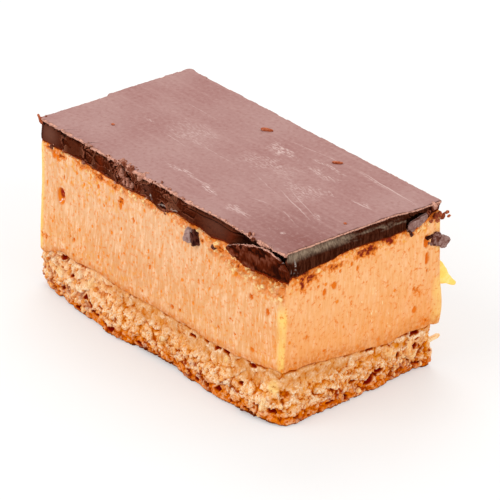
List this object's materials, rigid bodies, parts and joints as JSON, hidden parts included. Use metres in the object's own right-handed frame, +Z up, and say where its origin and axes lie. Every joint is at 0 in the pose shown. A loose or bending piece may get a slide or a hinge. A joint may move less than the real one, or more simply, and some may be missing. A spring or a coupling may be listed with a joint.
{
  "type": "millionaires shortbread",
  "caption": "Cut bar of millionaire's shortbread: crumbly shortbread base, deep upright caramel layer and a thin set chocolate top with broken edges.",
  "frame": {"origin": "middle of the underside, on the surface the bar stands on", "axes": "+X runs along the bar's length, +Z up through the chocolate top"},
  "size_m": [0.0798, 0.0478, 0.0375],
  "materials": {
    "shortbread": "baked crumb, matte",
    "caramel": "soft cut caramel, slight sheen",
    "chocolate": "set chocolate, satin"
  },
  "bodies": {
    "root": {"shortbread_base": "shortbread", "caramel_layer": "caramel", "chocolate_top": "chocolate"}
  },
  "joints": []
}
